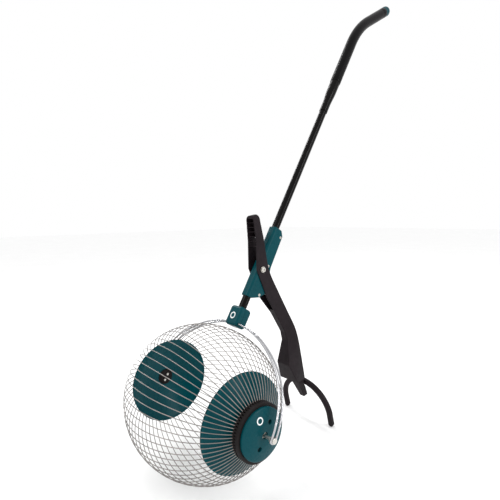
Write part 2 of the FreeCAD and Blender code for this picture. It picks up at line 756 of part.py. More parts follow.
def section_wire(station, inset, front_push, back_push):
    """One section as a closed wire, its sides moved in by inset and its ends pushed out along them."""
    (front_y, front_z), (back_y, back_z), half_front, half_back = station
    front = Vector(0, front_y, front_z)
    back = Vector(0, back_y, back_z)
    depth = (back - front).Length
    out = (back - front).normalize()
    taper = (half_back - half_front) / depth
    front = front - out * front_push
    back = back + out * back_push
    front_x = X * (half_front - taper * front_push - inset)
    back_x = X * (half_back + taper * back_push - inset)
    corners = [front - front_x, front + front_x, back + back_x, back - back_x]
    return Part.makePolygon(corners + corners[:1])


def station_at(place):
    """The section at a place along the lever: whole numbers are the listed stations.

    The back line is a smooth curve through its points and the rest runs straight between stations."""
    stations = lever_stations()
    index = min(int(place), len(stations) - 2)
    share = place - index
    first, second = stations[index], stations[index + 1]
    front = tuple(a + (b - a) * share for a, b in zip(first[0], second[0]))
    widths = [first[side] + (second[side] - first[side]) * share for side in (2, 3)]
    near = [stations[max(index - 1, 0)][1], first[1], second[1], stations[min(index + 2, LAST_STATION)][1]]
    back = tuple(curve_value(*values, share) for values in zip(*near))
    if index in STRAIGHT_SPANS:
        back = tuple(a + (b - a) * share for a, b in zip(first[1], second[1]))
    return front, back, widths[0], widths[1]


def curve_value(before, start, end, after, share):
    """A cubic from start to end whose slopes follow the neighbouring values."""
    start_slope = (end - before) / 2
    end_slope = (after - start) / 2
    rise = end - start
    square = 3 * rise - 2 * start_slope - end_slope
    cube = start_slope + end_slope - 2 * rise
    return start + share * (start_slope + share * (square + share * cube))


def stations_between(first, last):
    """Sections from one place to another, with more of them where the back line curves."""
    places = [first]
    for index in range(LAST_STATION):
        steps = 1 if index in STRAIGHT_SPANS else STEPS_PER_SPAN
        places += [index + step / steps for step in range(steps)]
    places.append(LAST_STATION)
    inside = [place for place in places if first + 0.02 < place < last - 0.02]
    return [station_at(place) for place in [first] + inside + [last]]


def loft(stations, inset, front_push, back_push):
    wires = [section_wire(station, inset, front_push, back_push) for station in stations]
    return Part.makeLoft(wires, True, True)


def lever_shell():
    """The outer form of the lever, still solid, with its top end rounded across its width."""
    body = loft(stations_between(0, LAST_STATION), 0, 0, 0)
    front, back, _, half = lever_stations()[0]
    top = Vector(0, (front[0] + back[0]) / 2, (front[1] + back[1]) / 2)
    corners = [edge for edge in body.Edges
               if abs((edge.CenterOfMass - X * edge.CenterOfMass.x).distanceToPoint(top)) < FIT
               and abs(abs(edge.CenterOfMass.x) - half) < FIT]
    return body.makeFillet(LEVER_CROWN, corners)


def lever_hollows():
    """The lever's open channel, window at the bracket, and hollow lower arm."""
    through = 40.0
    gap = LEVER_HALF_WIDTH - LEVER_GAP
    upper = loft(stations_between(0.12, WEB_END), 2.4, through, -LEVER_WALL)
    window = loft(stations_between(WEB_END, 2.75), gap, through, through)
    mouth = loft(stations_between(2.75, 3.75), gap, through / 5, -LEVER_WALL)
    lower = loft(stations_between(3.95, 7.88), LEVER_WALL, -LEVER_WALL, through)
    return [upper, window, mouth, lower]


def lever_ribs():
    """Arched finger ribs across the upper channel; those past its back web stand clear of the bracket."""
    ribs = []
    for index in range(RIB_COUNT):
        place = RIB_START + RIB_STEP * index
        front, back, half, _ = station_at(place)
        base = Vector(0, *back)
        out = Vector(0, *front) - base
        depth = out.Length
        out.normalize()
        along = out.cross(X)
        foot = base + out * (LEVER_WALL - 1 if place < WEB_END else depth / 2) - along * (RIB_WALL / 2)
        head = base + out * (depth - 1.5) - along * (RIB_WALL / 2)
        across = X * (half - 1.5)
        corners = [foot - across, foot + across, head + across, head - across]
        plate = Part.Face(Part.makePolygon(corners + corners[:1])).extrude(along * RIB_WALL)
        arch_radius = half + 1.0
        arch_centre = head + out * (arch_radius - 6.0) - along
        ribs.append(plate.cut(cylinder(arch_radius, arch_centre, along, RIB_WALL + 2)))
    return ribs


def lower_ribs():
    """Stiffening cross walls in the hollow lower arm."""
    walls = []
    for place in (4.35, 5.25, 6.15, 6.8):
        low = section_wire(station_at(place), 1.5, -1.5, -2.0)
        high = section_wire(station_at(place + 0.04), 1.5, -1.5, -2.0)
        walls.append(Part.makeLoft([low, high], True, True))
    return walls


def wedge_tab():
    """The blunt tab under the lever that enters between two cage wires."""
    root = [Vector(x, y, z) for x, y, z in (
        (-14, 252, 110), (14, 252, 110), (14, 270, 118), (-14, 270, 118))]
    tip = [Vector(x, y, z) for x, y, z in (
        (-7, 305, 81.5), (7, 305, 81.5), (7, 315, 91), (-7, 315, 91))]
    tab = Part.makeLoft(
        [Part.makePolygon(root + root[:1]), Part.makePolygon(tip + tip[:1])], True, True)
    end = Vector(0, 310, 86)
    edges = [edge for edge in tab.Edges if edge.CenterOfMass.distanceToPoint(end) < 12]
    return softened(tab, 3.2, edges)


def fork_frame(shape):
    """Move a shape drawn about the arch's centre, tines down, to its place under the lever."""
    slope = math.radians(FORK_SLOPE)
    down = Vector(0, math.sin(slope), -math.cos(slope))
    centre = Vector(0, *FORK_CROWN) + down * FORK_OUTER_RADIUS
    moved = shape.copy()
    moved.rotate(Vector(0, 0, 0), X, FORK_SLOPE)
    moved.translate(centre)
    return moved


def fork_screw_places():
    return [(0.0, FORK_OUTER_RADIUS + 8.0), (0.0, FORK_OUTER_RADIUS + 24.0)]


def fork():
    """An arch with two round-ended tines, and a tang that screws under the lever."""
    outer = FORK_OUTER_RADIUS
    inner = outer - FORK_BAR
    half = FORK_THICKNESS / 2
    ring = tube(outer, inner, Vector(0, -half, 0), Y, FORK_THICKNESS)
    arch = ring.common(box((-outer, -half, 0), (outer, half, outer)))
    middle = outer - FORK_BAR / 2
    parts = [arch]
    for _, side in SIDES:
        x = side * middle
        reach = FORK_TINE - FORK_BAR / 2
        parts.append(box((x - FORK_BAR / 2, -half, -reach), (x + FORK_BAR / 2, half, 0)))
        parts.append(cylinder(FORK_BAR / 2, Vector(x, -half, -reach), Y, FORK_THICKNESS))
    body = fuse_all(parts)
    rims = [edge for edge in body.Edges if abs(abs(edge.CenterOfMass.y) - half) < 0.01]
    body = softened(body, 4.4, rims)
    tang = box(
        (-TANG_HALF_WIDTH, -half, outer - 6),
        (TANG_HALF_WIDTH, TANG_THICKNESS - half, outer + TANG_LENGTH))
    body = body.fuse(tang).removeSplitter()
    holes = [cylinder(2.1, Vector(x, -20, z), Y, 40) for x, z in fork_screw_places()]
    return fork_frame(cut_all(body, holes))


def fork_screws():
    half = FORK_THICKNESS / 2
    screws = []
    for x, z in fork_screw_places():
        seat = Vector(x, TANG_THICKNESS + 0.1 - half, z)
        screws.append(fork_frame(pan_head_screw(3.8, 2.4, FORK_SCREW_RADIUS, 13.0, seat, -Y)))
    return Part.makeCompound(screws)


def fork_seat():
    """The block inside the lever's foot that the fork's tang screws to."""
    half = FORK_THICKNESS / 2
    outer = FORK_OUTER_RADIUS
    seat = box((-14.5, -half - 9, outer + 1), (14.5, -half - 0.05, outer + 36))
    return fork_frame(seat)


def lever():
    body = cut_all(lever_shell(), lever_hollows())
    body = fuse_all([body] + lever_ribs() + lower_ribs() + [fork_seat(), wedge_tab()])
    clearance = fork_frame(box((-16, -FORK_THICKNESS / 2 - 0.05, -40), (16, 30, 200)))
    crown = fork_frame(tube(FORK_OUTER_RADIUS + 0.3, FORK_OUTER_RADIUS - FORK_BAR - 0.3,
                            Vector(0, -FORK_THICKNESS / 2 - 0.3, 0), Y, FORK_THICKNESS + 0.6))
    tools = [
        clearance.common(fork_frame(box((-10.3, -30, 60), (10.3, 30, 200)))),
        crown,
        cylinder(5.1, pivot_centre() - X * 40, X, 80),
    ]
    for x, z in fork_screw_places():
        tools.append(fork_frame(cylinder(2.05, Vector(x, 20, z), -Y, 40)))
    return cut_all(body, tools)


def lever_bush(side):
    """A flangeless bush pressed in one flank of the lever."""
    start = pivot_centre() + X * (LEVER_GAP + FIT)
    length = LEVER_HALF_WIDTH - LEVER_GAP
    return mirrored(tube(5.05, BOLT_RADIUS + RUNNING_CLEARANCE, start, X, length), side)


# Assembly

def all_nodes():
    bolt, nut, washers = pivot_stack()
    nodes = {
        "hub_cap_screws": cap_screws(),
        "inner_plate_screws": inner_plate_screws(),
        "axle_clips": axle_clips(),
        "axle_washers": axle_washers(),
        "block_front": block_half(True),
        "block_back": block_half(False),
        "block_screws": block_screws(),
        "shaft_tube": on_tube(shaft_tube()),
        "handle_tube": on_tube(handle_tube()),
        "snap_button": on_tube(snap_button()),
        "grip_sleeve": on_tube(grip_sleeve()),
        "end_cap": on_tube(end_cap()),
        "bracket_screws": on_tube(bracket_screws()),
        "pivot_bolt": on_tube(bolt),
        "pivot_nut": on_tube(nut),
        "pivot_washers": on_tube(washers),
        "return_spring": on_tube(return_spring()),
        "lever": lever(),
        "fork": fork(),
        "fork_screws": fork_screws(),
    }
    nodes.update(basket_wires())
    for name, side in SIDES:
        nodes["hub_disc_" + name] = hub_disc(side)
        nodes["comb_hub_" + name] = comb_hub(side)
        nodes["hub_cap_" + name] = hub_cap(side)
        nodes["hub_bush_" + name] = hub_bush(side)
        nodes["inner_plate_" + name] = inner_plate(side)
        nodes["axle_pin_" + name] = axle_pin(side)
        nodes["bail_" + name] = bail(side)
        nodes["bracket_" + name] = on_tube(bracket_half(side))
        nodes["lever_bush_" + name] = lever_bush(side)
    return nodes


def lean(shape):
    moved = shape.copy()
    moved.rotate(Vector(0, 0, 0), X, -LEAN)
    return moved


def write_all():
    os.makedirs("parts", exist_ok=True)
    leaned = {name: lean(shape) for name, shape in all_nodes().items()}
    bounds = Part.makeCompound(list(leaned.values())).optimalBoundingBox(False)
    offset = Vector(0, -(bounds.YMin + bounds.YMax) / 2, -bounds.ZMin)
    for name, shape in leaned.items():
        shape.translate(offset)
        shape.exportStep("parts/" + name + ".step")
    pivot = lean(Part.Vertex(pivot_centre())).Point + offset
    fork_low = leaned["fork"].optimalBoundingBox(False).ZMin
    print("axle centre", offset)
    print("lever pivot", pivot)
    print("fork's lowest point above the floor", fork_low)


write_all()
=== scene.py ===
import json
import math

import bmesh
import bpy
from mathutils import Matrix, Vector

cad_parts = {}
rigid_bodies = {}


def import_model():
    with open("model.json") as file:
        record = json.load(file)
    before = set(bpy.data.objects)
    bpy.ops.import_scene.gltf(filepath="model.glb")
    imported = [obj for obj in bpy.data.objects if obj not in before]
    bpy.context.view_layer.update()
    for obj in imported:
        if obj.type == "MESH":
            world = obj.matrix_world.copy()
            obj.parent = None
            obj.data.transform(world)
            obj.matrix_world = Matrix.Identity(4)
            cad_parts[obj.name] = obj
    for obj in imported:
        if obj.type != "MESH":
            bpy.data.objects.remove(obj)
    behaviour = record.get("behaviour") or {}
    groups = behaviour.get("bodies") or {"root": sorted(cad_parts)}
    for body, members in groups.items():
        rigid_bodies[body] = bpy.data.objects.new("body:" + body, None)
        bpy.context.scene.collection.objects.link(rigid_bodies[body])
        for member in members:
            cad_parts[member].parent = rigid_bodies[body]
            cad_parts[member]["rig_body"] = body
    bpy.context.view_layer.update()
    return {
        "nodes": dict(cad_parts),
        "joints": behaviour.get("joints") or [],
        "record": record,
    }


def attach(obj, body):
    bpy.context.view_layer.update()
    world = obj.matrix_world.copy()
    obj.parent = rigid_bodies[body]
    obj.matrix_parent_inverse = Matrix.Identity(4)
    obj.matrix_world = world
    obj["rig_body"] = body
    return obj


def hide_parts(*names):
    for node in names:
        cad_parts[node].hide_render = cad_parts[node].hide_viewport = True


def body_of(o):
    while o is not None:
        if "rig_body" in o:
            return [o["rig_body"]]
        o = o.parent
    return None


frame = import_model()

# The tool's own frame, in millimetres: X is the axle, Z runs up the tube through the cage's centre,
# and Y points back to the user. TOOL and TUBE turn it into the row frame in metres.
MM = 0.001
LEAN = math.radians(31.66)
TUBE_TIP = math.radians(0.55)
TUBE_SETBACK = 5.5
JOINTS = {joint["name"]: joint for joint in frame["joints"]}
AXLE = Vector(JOINTS["basket_spin"]["pos_m"])
TOOL = Matrix.Translation(AXLE) @ Matrix.Rotation(-LEAN, 4, "X") @ Matrix.Scale(MM, 4)
TUBE = TOOL @ Matrix.Translation((0, TUBE_SETBACK, 0)) @ Matrix.Rotation(TUBE_TIP, 4, "X")
SIDES = (("left", -1), ("right", 1))

# Camera
CAMERA_PLACE = Vector((0.6496, -0.6961, 0.5151))
CAMERA_AIM = Vector((-0.7535, 0.6523, -0.0825))
CAMERA_UP = Vector((-0.0523, 0.0656, 0.9965))
CAMERA_LENS = 28.33


# Materials

def link(tree, source, target):
    tree.links.new(source, target)


def noise(tree, coordinates, scale, detail=3.0, stretch=None):
    """A noise texture; stretch scales its coordinates along each axis first."""
    if stretch:
        mapping = tree.nodes.new("ShaderNodeMapping")
        mapping.inputs["Scale"].default_value = stretch
        link(tree, coordinates, mapping.inputs["Vector"])
        coordinates = mapping.outputs["Vector"]
    texture = tree.nodes.new("ShaderNodeTexNoise")
    texture.inputs["Scale"].default_value = scale
    texture.inputs["Detail"].default_value = detail
    link(tree, coordinates, texture.inputs["Vector"])
    return texture.outputs["Fac"]


def ranged(tree, source, low, high, start=0.3, end=0.7):
    """source from start to end, mapped to low to high."""
    node = tree.nodes.new("ShaderNodeMapRange")
    node.inputs["From Min"].default_value = start
    node.inputs["From Max"].default_value = end
    node.inputs["To Min"].default_value = low
    node.inputs["To Max"].default_value = high
    link(tree, source, node.inputs["Value"])
    return node.outputs["Result"]


def mixed(tree, share, first, second):
    """A colour between first, a colour or socket, and second, by share."""
    node = tree.nodes.new("ShaderNodeMix")
    node.data_type = "RGBA"
    link(tree, share, node.inputs[0])
    for value, socket in ((first, node.inputs[6]), (second, node.inputs[7])):
        if isinstance(value, tuple):
            socket.default_value = (*value, 1.0)
        else:
            link(tree, value, socket)
    return node.outputs[2]


def surface(name, colour, roughness, metallic=0.0, tint=0.12, blotch=28.0, grain=1400.0, relief=0.05,
            depth=0.0002, stretch=None, painted_edge_highlight=None, specular=0.5):
    """A procedural material: mottled colour, uneven roughness, a fine grain in relief, and a painted
    highlight on sharp edges.

    roughness is its low and high; tint is how far the colour strays from its mean; the edge colour argument
    is a painted highlight, a lighter colour painted on sharp edges."""
    material = bpy.data.materials.new(name)
    material.use_nodes = True
    tree = material.node_tree
    shader = tree.nodes["Principled BSDF"]
    where = tree.nodes.new("ShaderNodeTexCoord").outputs["Object"]
    dark = tuple(channel * (1 - tint) for channel in colour)
    light = tuple(min(channel * (1 + tint), 1.0) for channel in colour)
    mottle = noise(tree, where, blotch, 4.0, stretch)
    base = mixed(tree, ranged(tree, mottle, 0.0, 1.0), dark, light)
    # Sharp edges, found by pointiness, are painted a lighter colour: a painted highlight.
    if painted_edge_highlight:
        edge = tree.nodes.new("ShaderNodeNewGeometry").outputs["Pointiness"]
        base = mixed(tree, ranged(tree, edge, 0.0, 0.6, 0.53, 0.62), base, painted_edge_highlight)
    link(tree, base, shader.inputs["Base Color"])
    uneven = noise(tree, where, blotch * 3.1, 5.0, stretch)
    link(tree, ranged(tree, uneven, roughness[0], roughness[1]), shader.inputs["Roughness"])
    fine = noise(tree, where, grain, 2.0, stretch)
    bump = tree.nodes.new("ShaderNodeBump")
    bump.inputs["Strength"].default_value = relief
    bump.inputs["Distance"].default_value = depth
    link(tree, fine, bump.inputs["Height"])
    link(tree, bump.outputs["Normal"], shader.inputs["Normal"])
    shader.inputs["Metallic"].default_value = metallic
    shader.inputs["Specular IOR Level"].default_value = specular
    return material


TEAL = (0.0, 0.050, 0.062)
# The edge colours given below are painted highlights, lighter colours painted on sharp edges.
FINISHES = {
    "cage_wire": surface(
        "drawn_wire", (0.26, 0.24, 0.23), (0.26, 0.42), metallic=1.0, tint=0.15, blotch=60.0,
        grain=900.0, relief=0.25, stretch=(0.15, 1.0, 1.0)),
    "bail_steel": surface(
        "polished_wire", (0.52, 0.52, 0.54), (0.10, 0.22), metallic=1.0, tint=0.06, blotch=45.0,
        grain=700.0, relief=0.12, stretch=(1.0, 1.0, 0.3)),
    "teal_plastic": surface(
        "teal_moulding", TEAL, (0.22, 0.34), tint=0.08, blotch=22.0, grain=1100.0, relief=0.10,
        painted_edge_highlight=(0.002, 0.085, 0.10), specular=0.1),
    "teal_cap": surface(
        "teal_end_cap", (0.0006, 0.036, 0.047), (0.42, 0.58), tint=0.10, blotch=40.0, grain=1600.0,
        relief=0.20, painted_edge_highlight=(0.01, 0.08, 0.10), specular=0.15),
    "black_plastic": surface(
        "black_moulding", (0.008, 0.006, 0.006), (0.36, 0.52), tint=0.20, blotch=55.0, grain=1500.0,
        relief=0.20, painted_edge_highlight=(0.018, 0.015, 0.015), specular=0.10),
    "lever_plastic": surface(
        "glass_filled_nylon", (0.013, 0.009, 0.011), (0.46, 0.62), tint=0.18, blotch=34.0,
        grain=1900.0, relief=0.30, depth=0.0002, painted_edge_highlight=(0.024, 0.018, 0.021), specular=0.10),
    "black_steel": surface(
        "powder_coat", (0.0025, 0.002, 0.002), (0.14, 0.20), tint=0.12, blotch=30.0, grain=520.0,
        relief=0.03, specular=0.10),
    "grip_rubber": surface(
        "grip_rubber", (0.0025, 0.002, 0.0025), (0.24, 0.32), tint=0.10, blotch=48.0, grain=2300.0,
        relief=0.06, depth=0.0001, specular=0.08),
    "zinc_steel": surface(
        "zinc_plate", (0.60, 0.58, 0.54), (0.22, 0.40), metallic=0.95, tint=0.10, blotch=160.0,
        grain=1300.0, relief=0.18),
    "spring_steel": surface(
        "spring_wire", (0.22, 0.21, 0.20), (0.30, 0.45), metallic=0.9, tint=0.12, blotch=140.0,
        grain=900.0, relief=0.2),
    "bush_nylon": surface(
        "white_nylon", (0.70, 0.68, 0.62), (0.34, 0.48), tint=0.05, blotch=120.0, grain=1200.0,
        relief=0.12),
}
# The cap screws' finish: a dark colour that is painted shade for the deep holes they sit in.
SCREWS_PAINTED_SHADE = surface(
    "painted_shade_screws", (0.035, 0.033, 0.032), (0.32, 0.46), metallic=0.6, tint=0.15, blotch=150.0,
    grain=1300.0, relief=0.2, specular=0.2)
MARK_FINISH = surface(
    "white_inlay", (0.82, 0.84, 0.84), (0.32, 0.44), tint=0.04, blotch=150.0, grain=1500.0, relief=0.1)
SLOT_OF = {row["node"]: row["material_slot"] for row in frame["record"]["subparts"]}


def give_finish(obj, finish):
    obj.data.materials.clear()
    obj.data.materials.append(finish)


# Mesh helpers

def new_piece(name, mesh, body, finish, replaced=()):
    """Link a finished mesh to the scene as a piece of the object."""
    obj = bpy.data.objects.new(name, mesh)
    bpy.context.scene.collection.objects.link(obj)
    give_finish(obj, finish)
    if replaced:
        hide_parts(*replaced)
    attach(obj, body)
    return obj


def shaded(mesh, crease=32.0):
    """Smooth shading with hard edges where faces meet at more than crease degrees."""
    mesh.shade_smooth()
    mesh.set_sharp_from_angle(angle=math.radians(crease))
    return mesh


def mesh_of(name, points, faces, matrix):
    """A mesh from points in millimetres, with its faces turned outwards."""
    mesh = bpy.data.meshes.new(name)
    mesh.from_pydata([matrix @ point for point in points], [], faces)
    work = bmesh.new()
    work.from_mesh(mesh)
    bmesh.ops.recalc_face_normals(work, faces=work.faces)
    work.to_mesh(mesh)
    work.free()
    return mesh


def ring_faces(first, second, sides):
    """Quads between two rings of points, given where each ring starts."""
    faces = []
    for index in range(sides):
        after = (index + 1) % sides
        faces.append((first + index, first + after, second + after, second + index))
    return faces


def transported(path, across):
    """Two unit vectors square to the path at each point, carried along it without twist."""
    frames = []
    for index, point in enumerate(path):
        before = path[max(index - 1, 0)]
        after = path[min(index + 1, len(path) - 1)]
        along = (after - before).normalized()
        across = (across - along * across.dot(along)).normalized()
        frames.append((across, along.cross(across)))
    return frames


ROD_END = 0.7  # a rod's radius at its end faces, as a share of its radius


def rod(path, radius, sides, across):
    """Points and faces of a round rod with a small chamfer at each end."""
    points = []
    faces = []
    frames = transported(path, across)
    end_radius = ROD_END * radius
    chamfer = (1 - ROD_END) * radius
    radii = [end_radius] + [radius] * len(path) + [end_radius]
    spine = [path[0]] + list(path) + [path[-1]]
    spine[1] = path[0] + (path[1] - path[0]).normalized() * chamfer
    spine[-2] = path[-1] - (path[-1] - path[-2]).normalized() * chamfer
    frames = [frames[0]] + frames + [frames[-1]]
    for centre, size, (u, v) in zip(spine, radii, frames):
        for index in range(sides):
            angle = 2 * math.pi * index / sides
            points.append(centre + (u * math.cos(angle) + v * math.sin(angle)) * size)
    for ring in range(len(spine) - 1):
        faces += ring_faces(ring * sides, (ring + 1) * sides, sides)
    faces.append(tuple(range(sides)))
    faces.append(tuple(range((len(spine) - 1) * sides, len(spine) * sides)))
    return points, faces


def joined(parts):
    """Several (points, faces) as one."""
    points = []
    faces = []
    for more_points, more_faces in parts:
        shift = len(points)
        points += more_points
        faces += [tuple(index + shift for index in face) for face in more_faces]
    return points, faces


def hollow_sweep(name, stations, matrix, sides=64):
    """A closed shell along a path in the plane x = 0, from (centre, outer radius, inner radius)."""
    path = [station[0] for station in stations]
    frames = transported(path, Vector((1, 0, 0)))
    rings = [(c, f, station[1]) for c, f, station in zip(path, frames, stations)]
    rings += [(c, f, station[2]) for c, f, station in reversed(list(zip(path, frames, stations)))]
    points = []
    faces = []
    for centre, (u, v), radius in rings:
        for index in range(sides):
            angle = 2 * math.pi * index / sides
            points.append(centre + (u * math.cos(angle) + v * math.sin(angle)) * radius)
    for ring in range(len(rings)):
        faces += ring_faces(ring * sides, ((ring + 1) % len(rings)) * sides, sides)
    return shaded(mesh_of(name, points, faces, matrix))


def lathe(name, profile, side, segments=144, crease=32.0):
    """A closed profile of (x, radius) turned about the axle, mirrored to one side."""
    points = []
    faces = []
    count = len(profile)
    for step in range(segments):
        angle = 2 * math.pi * step / segments
        for x, radius in profile:
            points.append(Vector((side * x, radius * math.cos(angle), radius * math.sin(angle))))
    for step in range(segments):
        after = (step + 1) % segments
        for index in range(count):
            follow = (index + 1) % count
            faces.append((step * count + index, step * count + follow,
                          after * count + follow, after * count + index))
    return shaded(mesh_of(name, points, faces, TOOL), crease)


def moulded(node, voxel, rounds, keep):
    """Replace a CAD node with a moulding of the same shape whose edges and inner corners are rounded."""
    source = frame["nodes"][node]
    work = bmesh.new()
    work.from_mesh(source.data)
    bmesh.ops.remove_doubles(work, verts=work.verts, dist=1e-6)
    mesh = bpy.data.meshes.new(node + "_work")
    work.to_mesh(mesh)
    work.free()
    obj = bpy.data.objects.new(node + "_work", mesh)
    bpy.context.scene.collection.objects.link(obj)
    remesh = obj.modifiers.new("voxels", "REMESH")
    remesh.mode = "VOXEL"
    remesh.voxel_size = voxel * MM
    relax = obj.modifiers.new("relax", "SMOOTH")
    relax.factor = 0.5
    relax.iterations = rounds
    thin = obj.modifiers.new("thin", "DECIMATE")
    thin.ratio = keep
    bpy.context.view_layer.update()
    shaped = bpy.data.meshes.new_from_object(obj.evaluated_get(bpy.context.evaluated_depsgraph_get()))
    bpy.data.objects.remove(obj)
    shaped.name = node + "_moulding"
    shaped.shade_smooth()
    slot = SLOT_OF[node]
    return new_piece(node + "_moulding", shaped, body_of(source)[0], FINISHES[slot], [node])


# Tubes and grip: rows of (distance up the tube, outer radius, inner radius), in millimetres
BEND_START = 970.0
BEND_RADIUS = 240.0
BEND_ANGLE = math.radians(27.0)
TAIL_LENGTH = 104.0
BEND_END = BEND_START + BEND_RADIUS * BEND_ANGLE
SHAFT_FOOT = 172.0
SHAFT_TOP = 800.0
HANDLE_FOOT = 738.0
GRIP_FOOT = 833.0
HANDLE_TOP = BEND_END + TAIL_LENGTH
GRIP_TOP = HANDLE_TOP - 12.0
SHAFT_OUTER = 9.0
SHAFT_INNER = 7.8
SOCKET_OUTER = 10.3
SOCKET_INNER = 9.1
HANDLE_OUTER = 12.5
HANDLE_INNER = 11.3
GRIP_OUTER = 13.5
GRIP_INNER = 12.55
GROOVE_DEPTH = 0.45


def on_spine(reach):
    """The point at a distance along the handle's centre line."""
    if reach <= BEND_START:
        return Vector((0, 0, reach))
    angle = min((reach - BEND_START) / BEND_RADIUS, BEND_ANGLE)
    centre = Vector((0, BEND_RADIUS, BEND_START))
    point = centre + Vector((0, -math.cos(angle), math.sin(angle))) * BEND_RADIUS
    tail = Vector((0, math.sin(BEND_ANGLE), math.cos(BEND_ANGLE)))
    return point + tail * max(reach - BEND_END, 0)


def eased(low, high, share):
    smooth = share * share * (3 - 2 * share)
    return low + (high - low) * smooth


def spread(first, last, step):
    count = max(int((last - first) / step), 1)
    return [first + (last - first) * index / count for index in range(count + 1)]


def build_shaft():
    """The lower tube, with its ends deburred."""
    deburred = (SHAFT_OUTER - 0.4, SHAFT_INNER + 0.3)
    full = (SHAFT_OUTER, SHAFT_INNER)
    foot = [(SHAFT_FOOT, *deburred), (SHAFT_FOOT + 0.4, *full)]
    run = [(reach, *full) for reach in spread(SHAFT_FOOT + 1, SHAFT_TOP - 1, 60)]
    top = [(SHAFT_TOP - 0.4, *full), (SHAFT_TOP, *deburred)]
    stations = [(on_spine(reach), outer, inner) for reach, outer, inner in foot + run + top]
    mesh = hollow_sweep("shaft_tube_drawn", stations, TUBE)
    new_piece("shaft_tube_drawn", mesh, "frame", FINISHES["black_steel"], ["shaft_tube"])


def build_handle():
    """The upper tube: a rolled lip, the socket, a swaged neck, then the bent run."""
    neck_foot = 762.0
    neck_top = 806.0
    socket = (SOCKET_OUTER, SOCKET_INNER)
    full = (HANDLE_OUTER, HANDLE_INNER)
    rows = [(HANDLE_FOOT, SOCKET_OUTER - 0.3, SOCKET_INNER + 0.3)]
    rows += [(HANDLE_FOOT + rise, *socket) for rise in (0.3, 1.6, 4.0, 14.0, 22.0)]
    for reach in spread(neck_foot, neck_top, 3.0):
        share = (reach - neck_foot) / (neck_top - neck_foot)
        outer = eased(SOCKET_OUTER, HANDLE_OUTER, share)
        rows.append((reach, outer, eased(SOCKET_INNER, HANDLE_INNER, share)))
    rows += [(reach, *full) for reach in spread(neck_top + 4, BEND_START - 2, 40)]
    rows += [(reach, *full) for reach in spread(BEND_START, BEND_END, 5)]
    rows += [(BEND_END + 4, *full), (HANDLE_TOP, *full)]
    stations = [(on_spine(reach), outer, inner) for reach, outer, inner in rows]
    mesh = hollow_sweep("handle_tube_drawn", stations, TUBE)
    new_piece("handle_tube_drawn", mesh, "frame", FINISHES["black_steel"], ["handle_tube"])


def grooves(first, count=3, pitch=4.2):
    """Shallow rings round the sleeve, as (distance up the tube, outer radius)."""
    rows = []
    for ring in range(count):
        low = first + ring * pitch
        for rise, depth in ((0.0, 0.0), (0.5, GROOVE_DEPTH), (1.1, GROOVE_DEPTH), (1.6, 0.0)):
            rows.append((low + rise, GRIP_OUTER - depth))
    return rows


def build_grip():
    """The sleeve: a rounded lip at each end and shallow rings beside the lips."""
    rows = [(GRIP_FOOT, GRIP_OUTER - 0.6), (GRIP_FOOT + 0.5, GRIP_OUTER - 0.2), (GRIP_FOOT + 1.4, GRIP_OUTER)]
    rows += grooves(GRIP_FOOT + 5)
    rows += [(reach, GRIP_OUTER) for reach in spread(GRIP_FOOT + 20, BEND_START - 4, 20)]
    rows += [(reach, GRIP_OUTER) for reach in spread(BEND_START, BEND_END, 4)]
    rows += [(reach, GRIP_OUTER) for reach in spread(BEND_END + 4, GRIP_TOP - 22, 20)]
    rows += grooves(GRIP_TOP - 17)
    rows += [(GRIP_TOP - 1, GRIP_OUTER), (GRIP_TOP, GRIP_OUTER - 0.4)]
    stations = [(on_spine(reach), outer, GRIP_INNER) for reach, outer in rows]
    mesh = hollow_sweep("grip_sleeve_moulded", stations, TUBE)
    new_piece("grip_sleeve_moulded", mesh, "frame", FINISHES["grip_rubber"], ["grip_sleeve"])


# The cage, in millimetres in the tool's frame

DISC_CROWN = 156.5
DISC_RIM_X = 129.0
DISC_RIM = 90.0
DISC_HOLE = 12.0
DISC_WALL = 2.5
DISC_STEP = 25.0
DISC_STEP_HEIGHT = 0.5
BEAD_RADIUS = 2.15


def disc_x(radius):
    """Outer face of the dished disc at a radius from the axle."""
    rise = DISC_CROWN - DISC_RIM_X
    sphere = (DISC_RIM ** 2 + rise ** 2) / (2 * rise)
    return DISC_CROWN - sphere + math.sqrt(sphere ** 2 - radius ** 2)


def build_discs():
    """The dished discs, with a rolled rim and a low step round the middle."""
    radii = spread(DISC_HOLE + 0.6, DISC_RIM - 2.6, 1.6)

    def sunk(radius):
        return DISC_STEP_HEIGHT * (1 - min(max((radius - DISC_STEP) / 1.6, 0.0), 1.0))

    outer = [(disc_x(radius) - sunk(radius), radius) for radius in radii]
    inner = [(disc_x(radius) - DISC_WALL, radius) for radius in reversed(radii)]
    rim_x = DISC_RIM_X - DISC_WALL / 2
    bead = []
    for step in range(15):
        angle = math.radians(125 - step * 18)
        bead.append((rim_x + BEAD_RADIUS * math.sin(angle), DISC_RIM - 0.5 - BEAD_RADIUS * math.cos(angle)))
    lip = [(disc_x(DISC_HOLE) - DISC_WALL + 0.5, DISC_HOLE), (disc_x(DISC_HOLE) - 0.9, DISC_HOLE)]
    for name, side in SIDES:
        piece = "hub_disc_" + name
        mesh = lathe(piece + "_dished", outer + bead + inner + lip, side, 180)
        new_piece(piece + "_dished", mesh, "basket", FINISHES["teal_plastic"], [piece])


CAGE_RADIUS = 150.0
CAGE_HALF_LENGTH = 172.0
WIRE_RADIUS = 0.75
WIRE_SEAT = 46.0
WIRE_CROWN_RADIUS = 194.0
WIRE_CROWN_ANGLE = 31.0
WIRE_COUNT = 64
WIRE_GROUPS = ("upper_front", "lower_front", "lower_back", "upper_back")


def arc_points(centre, radius, first, last, count):
    """Points on an arc in the plane y = 0, its angles in degrees from +Z towards +X."""
    points = []
    for index in range(count):
        angle = math.radians(first + (last - first) * index / (count - 1))
        points.append(centre + Vector((math.sin(angle), 0, math.cos(angle))) * radius)
    return points


